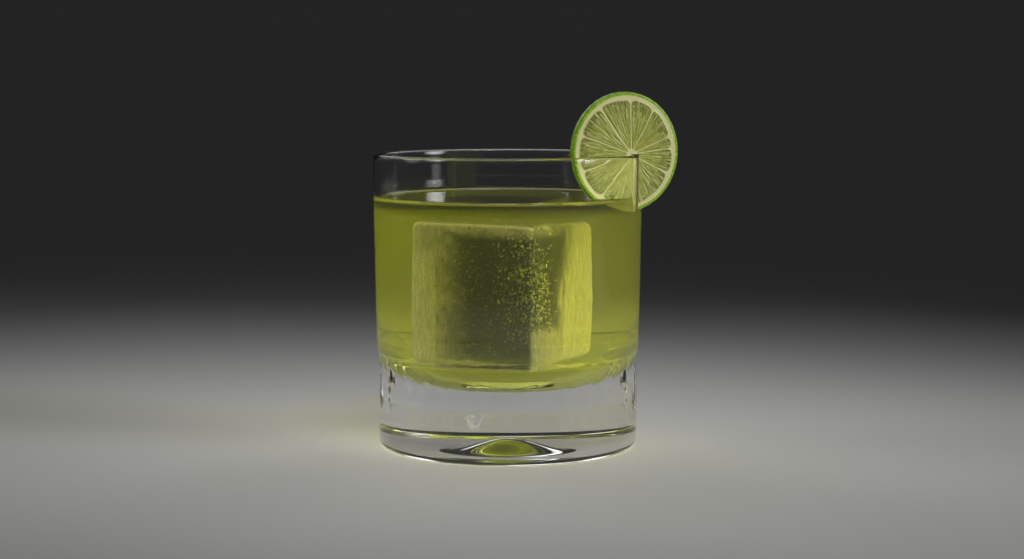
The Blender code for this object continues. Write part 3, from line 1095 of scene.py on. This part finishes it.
def mask_of(tree, name):
    """The value of a named attribute of the mesh's points."""
    node = tree.nodes.new("ShaderNodeAttribute")
    node.attribute_name = name
    return node.outputs["Fac"]


def product(tree, a, b):
    """a times b."""
    node = tree.nodes.new("ShaderNodeMath")
    node.operation = "MULTIPLY"
    tree.links.new(a, node.inputs[0])
    tree.links.new(b, node.inputs[1])
    return node.outputs[0]


def mixed(tree, factor, a, b):
    """Colour a where factor is 0 and b where it is 1; each is a colour or a socket."""
    node = tree.nodes.new("ShaderNodeMix")
    node.data_type = "RGBA"
    tree.links.new(factor, node.inputs["Factor"])
    for socket, value in ((node.inputs[6], a), (node.inputs[7], b)):
        if isinstance(value, tuple):
            socket.default_value = value
        else:
            tree.links.new(value, socket)
    return node.outputs[2]

# %% [markdown]
# Frost, pith, skin pores and the faint waves of pressed glass are all an uneven field over the
# surface, only at other scales. So one node group makes that field, and each material places
# it with its own numbers: noise on the object's own coordinates, which may be stretched, and
# then carried from a low and a high noise value to the two amounts wanted.

# %% The grain group
GRAIN_INPUTS = (
    ("Scale", "NodeSocketFloat", 100.0),
    ("Detail", "NodeSocketFloat", 3.0),
    ("Fineness", "NodeSocketFloat", 0.5),
    ("Stretch", "NodeSocketVector", (1.0, 1.0, 1.0)),
    ("Noise Low", "NodeSocketFloat", 0.0),
    ("Noise High", "NodeSocketFloat", 1.0),
    ("Amount Low", "NodeSocketFloat", 0.0),
    ("Amount High", "NodeSocketFloat", 1.0),
)


def grain_group():
    """Noise on Object coordinates times Stretch, carried from the noise's range to Amount's."""
    group = bpy.data.node_groups.new("grain", "ShaderNodeTree")
    for name, kind, value in GRAIN_INPUTS:
        socket = group.interface.new_socket(name=name, in_out="INPUT", socket_type=kind)
        socket.default_value = value
    group.interface.new_socket(name="Amount", in_out="OUTPUT", socket_type="NodeSocketFloat")
    given = group.nodes.new("NodeGroupInput")
    result = group.nodes.new("NodeGroupOutput")
    place = group.nodes.new("ShaderNodeTexCoord")
    stretch = group.nodes.new("ShaderNodeMapping")
    noise = group.nodes.new("ShaderNodeTexNoise")
    carry = group.nodes.new("ShaderNodeMapRange")
    links = group.links
    links.new(place.outputs["Object"], stretch.inputs["Vector"])
    links.new(given.outputs["Stretch"], stretch.inputs["Scale"])
    links.new(stretch.outputs["Vector"], noise.inputs["Vector"])
    links.new(given.outputs["Scale"], noise.inputs["Scale"])
    links.new(given.outputs["Detail"], noise.inputs["Detail"])
    links.new(given.outputs["Fineness"], noise.inputs["Roughness"])
    links.new(noise.outputs["Fac"], carry.inputs["Value"])
    links.new(given.outputs["Noise Low"], carry.inputs["From Min"])
    links.new(given.outputs["Noise High"], carry.inputs["From Max"])
    links.new(given.outputs["Amount Low"], carry.inputs["To Min"])
    links.new(given.outputs["Amount High"], carry.inputs["To Max"])
    links.new(carry.outputs["Result"], result.inputs["Amount"])
    return group


GRAIN = grain_group()
print("grain group:", [name for name, _, _ in GRAIN_INPUTS])

# %% [markdown]
# What the group puts out goes to a mix of two colours, to a see-through amount, or to a Bump
# node, which tilts the shader's normal as if the surface rose and fell there.

# %% Place the grain
def grain(tree, scale, noise=(0.0, 1.0), amount=(0.0, 1.0), detail=3.0, fineness=0.5,
          stretch=(1.0, 1.0, 1.0)):
    """Places the grain group in a material's tree with its own values."""
    node = tree.nodes.new("ShaderNodeGroup")
    node.node_tree = GRAIN
    values = (scale, detail, fineness, stretch, *noise, *amount)
    for (name, _, _), value in zip(GRAIN_INPUTS, values):
        node.inputs[name].default_value = value
    return node.outputs["Amount"]


def bumped(tree, shader, height, distance):
    """Tilts the shader's normal by a height field whose full step is distance."""
    bump = tree.nodes.new("ShaderNodeBump")
    bump.inputs["Distance"].default_value = distance
    tree.links.new(height, bump.inputs["Height"])
    tree.links.new(bump.outputs["Normal"], shader.inputs["Normal"])

# %% [markdown]
# A lamp's light can't be aimed straight through bent glass: every shadow ray that meets it
# counts as blocked, and what is inside stays dark. A filled glass would look like a block of
# dull plastic. So a Mix Shader hands the shadow rays to a Transparent shader, while the rays
# that the camera sends still bend.

# %% Let lamps through clear pieces
def let_lamps_through(made):
    """Mixes in a Transparent shader for the shadow rays, and for no others."""
    tree = made.node_tree
    shader, output = tree.nodes["Principled BSDF"], tree.nodes["Material Output"]
    path = tree.nodes.new("ShaderNodeLightPath")
    clear = tree.nodes.new("ShaderNodeBsdfTransparent")
    mix = tree.nodes.new("ShaderNodeMixShader")
    tree.links.new(path.outputs["Is Shadow Ray"], mix.inputs["Fac"])
    tree.links.new(shader.outputs["BSDF"], mix.inputs[1])
    tree.links.new(clear.outputs["BSDF"], mix.inputs[2])
    tree.links.new(mix.outputs["Shader"], output.inputs["Surface"])


def absorbing(tree, colour, density):
    """Plain absorption inside a closed body: light fades by (1 - colour) * density per metre."""
    absorb = tree.nodes.new("ShaderNodeVolumeAbsorption")
    absorb.inputs["Color"].default_value = colour
    absorb.inputs["Density"].default_value = density
    tree.links.new(absorb.outputs["Volume"], tree.nodes["Material Output"].inputs["Volume"])

# %% [markdown]
# **Glass** is clear and smooth, with an IOR of 1.5. A pressed glass was never quite flat, so a
# few hundredths of a millimetre of broad unevenness make its reflections swim a little.
#
# ** The drink** bends light a little less than glass. Its own colour isn't on its skin: blue light
# is absorbed on the way through, so thin parts are pale and thick parts yellow-green. Seen
# from low down, the open surface mostly mirrors the room. A mask paints shade there, by
# darkening the skin's tint, so the light that comes up through it is dim. At the bottom, where
# the bowl rounds in and the layer gets thin, a second mask paints shade as a deeper, darker
# tint that keeps the colour deep.
#
# **The murk** is what makes a shaken drink glow: tiny pulp that scatters the light. It is a
# body of its own with an invisible skin, so that the drink keeps its plain absorption.

# %% Glass, drink and murk
COLOURLESS = (1, 1, 1, 1)
GLASS_IOR, DRINK_IOR = 1.5, 1.355
GLASS_WAVE = 0.02 * MM
# The second colour is painted shade: a deeper, darker tint low in the bowl.
DRINK_SKIN, LOW_PAINTED_SHADE = (0.96, 0.98, 0.72, 1), (0.78, 0.84, 0.16, 1)
# Painted shade: the dark tint of the open surface.
TOP_PAINTED_SHADE = (0.30, 0.32, 0.14, 1)
DRINK_COLOUR, DRINK_DENSITY = (0.932, 0.940, 0.11, 1), 50
MURK_SKIN = (0.9, 0.95, 0.5, 1)
PULP_COLOUR, PULP_DENSITY, PULP_FORWARD = (0.94, 0.985, 0.28, 1), 8, 0.6


def pressed_glass():
    """Clear pressed glass with a slight waviness."""
    made, tree, shader = new_material("pressed_glass")
    set_values(shader, Base_Color=COLOURLESS, Roughness=0.0, IOR=GLASS_IOR, Transmission_Weight=1.0)
    bumped(tree, shader, grain(tree, 55, detail=1.0, stretch=(1.0, 1.0, 0.5)), GLASS_WAVE)
    let_lamps_through(made)
    return made


def cloudy_drink():
    """Yellow-green liquid, with painted shade on the open surface and low in the bowl."""
    made, tree, shader = new_material("cloudy_drink")
    tint = mixed(tree, mask_of(tree, "painted_shade_low"), DRINK_SKIN, LOW_PAINTED_SHADE)
    tint = mixed(tree, mask_of(tree, "painted_shade_top"), tint, TOP_PAINTED_SHADE)
    tree.links.new(tint, shader.inputs["Base Color"])
    set_values(shader, Roughness=0.0, IOR=DRINK_IOR, Transmission_Weight=0.97)
    absorbing(tree, DRINK_COLOUR, DRINK_DENSITY)
    let_lamps_through(made)
    return made


def fine_murk():
    """Nothing on the skin, and inside a thin scatter that mostly carries on forwards."""
    made, tree, shader = new_material("fine_murk")
    set_values(shader, Base_Color=MURK_SKIN, Alpha=0.0)
    scatter = tree.nodes.new("ShaderNodeVolumeScatter")
    scatter.inputs["Color"].default_value = PULP_COLOUR
    scatter.inputs["Density"].default_value = PULP_DENSITY
    scatter.inputs["Anisotropy"].default_value = PULP_FORWARD
    tree.links.new(scatter.outputs["Volume"], tree.nodes["Material Output"].inputs["Volume"])
    return made

# %% [markdown]
# ** Ice** bends light only a little less than the drink round it, so a clear block would hardly
# show. Its body absorbs strongly instead, painted shade that darkens what shows through it,
# and ripples left by melting break that up.
#
# **Frost** is a pale, dull layer. How much of it covers a point is the mask times two
# grains: upright streaks from the mould and finer crystals.
#
# ** Bubbles** are pale balls whose colour paints the glints that real bubbles catch, as bright
# grains in two slightly different yellows.

# %% Ice, frost and bubbles
ICE_IOR, ICE_RIPPLE = 1.30, 0.06 * MM
# Painted shade: a dark absorption in the ice that darkens what shows through it.
ICE_SHADE_COLOUR, ICE_SHADE_DENSITY = (0.10, 0.17, 0.05, 1), 108
FROST_COLOUR = (0.97, 0.90, 0.97, 1)
# Painted glints: pale colours that stand for the light real bubbles catch.
GLINT_DULL, GLINT_BRIGHT = (0.75, 0.74, 0.40, 1), (1.0, 1.0, 0.80, 1)


def clear_ice():
    """Smooth, rippled ice with a dark, absorbing body: painted shade that makes what shows through it
    darker.
    """
    made, tree, shader = new_material("clear_ice")
    set_values(shader, Base_Color=COLOURLESS, Roughness=0.02, IOR=ICE_IOR, Transmission_Weight=1.0)
    bumped(tree, shader, grain(tree, 260, detail=2.0, stretch=(1.0, 1.0, 0.6)), ICE_RIPPLE)
    absorbing(tree, ICE_SHADE_COLOUR, ICE_SHADE_DENSITY)
    let_lamps_through(made)
    return made


def rubbed_frost():
    """Pale, dull frost whose Alpha is the frost mask times streaks and crystals."""
    made, tree, shader = new_material("rubbed_frost")
    streaks = grain(tree, 1400, (0.30, 0.70), (0.52, 1.0), 5.0, 0.65, (1.0, 1.0, 0.16))
    crystals = grain(tree, 2300, (0.35, 0.65), (0.68, 1.0), 3.0, 0.6, (1.0, 1.0, 0.7))
    amount = product(tree, product(tree, mask_of(tree, "frost"), streaks), crystals)
    tree.links.new(amount, shader.inputs["Alpha"])
    set_values(shader, Base_Color=FROST_COLOUR, Roughness=0.8, Specular_IOR_Level=0.0)
    return made


def glint_painted_bubbles():
    """Pale, glossy balls whose colour paints glints, some a little yellower than others."""
    made, tree, shader = new_material("painted_bubble_glints")
    colour = mixed(tree, grain(tree, 700, detail=2.0), GLINT_DULL, GLINT_BRIGHT)
    tree.links.new(colour, shader.inputs["Base Color"])
    set_values(shader, Roughness=0.25)
    return made

# %% [markdown]
# ** The lime** is painted in layers, each laid over the last where its mask says so: two tones
# of flesh from sac to sac, a darker outer end, a paler middle near the core, and bright
# seams between sacs. Then come the pith, the speckled skin, and painted shade on the part
# under the drink's surface, which hardly shows in it. A wet cut face has a soft gloss.

# %% Lime
FLESH_DEEP, FLESH_BRIGHT = (0.31, 0.35, 0.045, 1), (0.46, 0.49, 0.08, 1)
OUTER_END, NEAR_CORE = (0.22, 0.25, 0.035, 1), (0.44, 0.48, 0.055, 1)
SEAM = (0.63, 0.65, 0.17, 1)
PITH_DULL, PITH_PALE = (0.82, 0.79, 0.30, 1), (1.0, 0.97, 0.50, 1)
SKIN_DEEP, SKIN_BRIGHT = (0.20, 0.42, 0.01, 1), (0.42, 0.68, 0.03, 1)
# Painted shade for the part under the drink's surface.
SUNK_PAINTED_SHADE = (0.25, 0.26, 0.03, 1)


def lime_flesh():
    """Flesh, pith, skin and painted shade on the sunk part, mixed by the wheel's masks."""
    made, tree, shader = new_material("lime_flesh")
    flesh = mixed(tree, mask_of(tree, "tone"), FLESH_DEEP, FLESH_BRIGHT)
    flesh = mixed(tree, mask_of(tree, "outer_end"), flesh, OUTER_END)
    flesh = mixed(tree, mask_of(tree, "near_core"), flesh, NEAR_CORE)
    flesh = mixed(tree, mask_of(tree, "seam"), flesh, SEAM)
    pith = mixed(tree, grain(tree, 1300), PITH_DULL, PITH_PALE)
    colour = mixed(tree, mask_of(tree, "pulp"), pith, flesh)
    pores = grain(tree, 1500, (0.42, 0.60), detail=2.0)
    skin = mixed(tree, pores, SKIN_DEEP, SKIN_BRIGHT)
    colour = mixed(tree, mask_of(tree, "skin"), colour, skin)
    colour = mixed(tree, mask_of(tree, "sunk"), colour, SUNK_PAINTED_SHADE)
    tree.links.new(colour, shader.inputs["Base Color"])
    set_values(shader, Roughness=0.30, Coat_Weight=0.12, Coat_Roughness=0.10,
               Specular_IOR_Level=0.28)
    return made

# %% [markdown]
# The sheet is plain matt card: two near greys in a broad, faint mottle.

# %% Sheet, and a finish for every piece
CARD_DULL, CARD_PALE = (0.79, 0.78, 0.77, 1), (0.81, 0.80, 0.79, 1)


def pale_sheet():
    """Matt, nearly even grey."""
    made, tree, shader = new_material("pale_sheet")
    mottle = mixed(tree, grain(tree, 9, detail=2.0), CARD_DULL, CARD_PALE)
    tree.links.new(mottle, shader.inputs["Base Color"])
    set_values(shader, Roughness=0.75)
    return made


FINISHES = (
    (glass, pressed_glass()),
    (drink, cloudy_drink()),
    (murk, fine_murk()),
    (ice, clear_ice()),
    (frost, rubbed_frost()),
    (bubbles, glint_painted_bubbles()),
    (lime, lime_flesh()),
    (sheet, pale_sheet()),
)
for piece, finish in FINISHES:
    piece.data.materials.clear()
    piece.data.materials.append(finish)
print({piece.name: finish.name for piece, finish in FINISHES})

# %% [markdown]
# ## Attach the pieces
#
# Nothing here moves against anything else, so every piece rides on the root. Three of them
# stand in for a plain solid. The murk, the ice, its frost and its bubbles have no plain
# solid, because they are wholly sunk in the drink.

# %% Ride and replace
SLOTS = (
    (glass, "clear_glass"),
    (drink, "drink"),
    (murk, "drink"),
    (ice, "drink"),
    (frost, "drink"),
    (bubbles, "drink"),
    (lime, "lime"),
)
for piece, slot in SLOTS:
    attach(piece, "root")
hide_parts("glass")
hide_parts("drink")
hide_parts("lime_wheel")
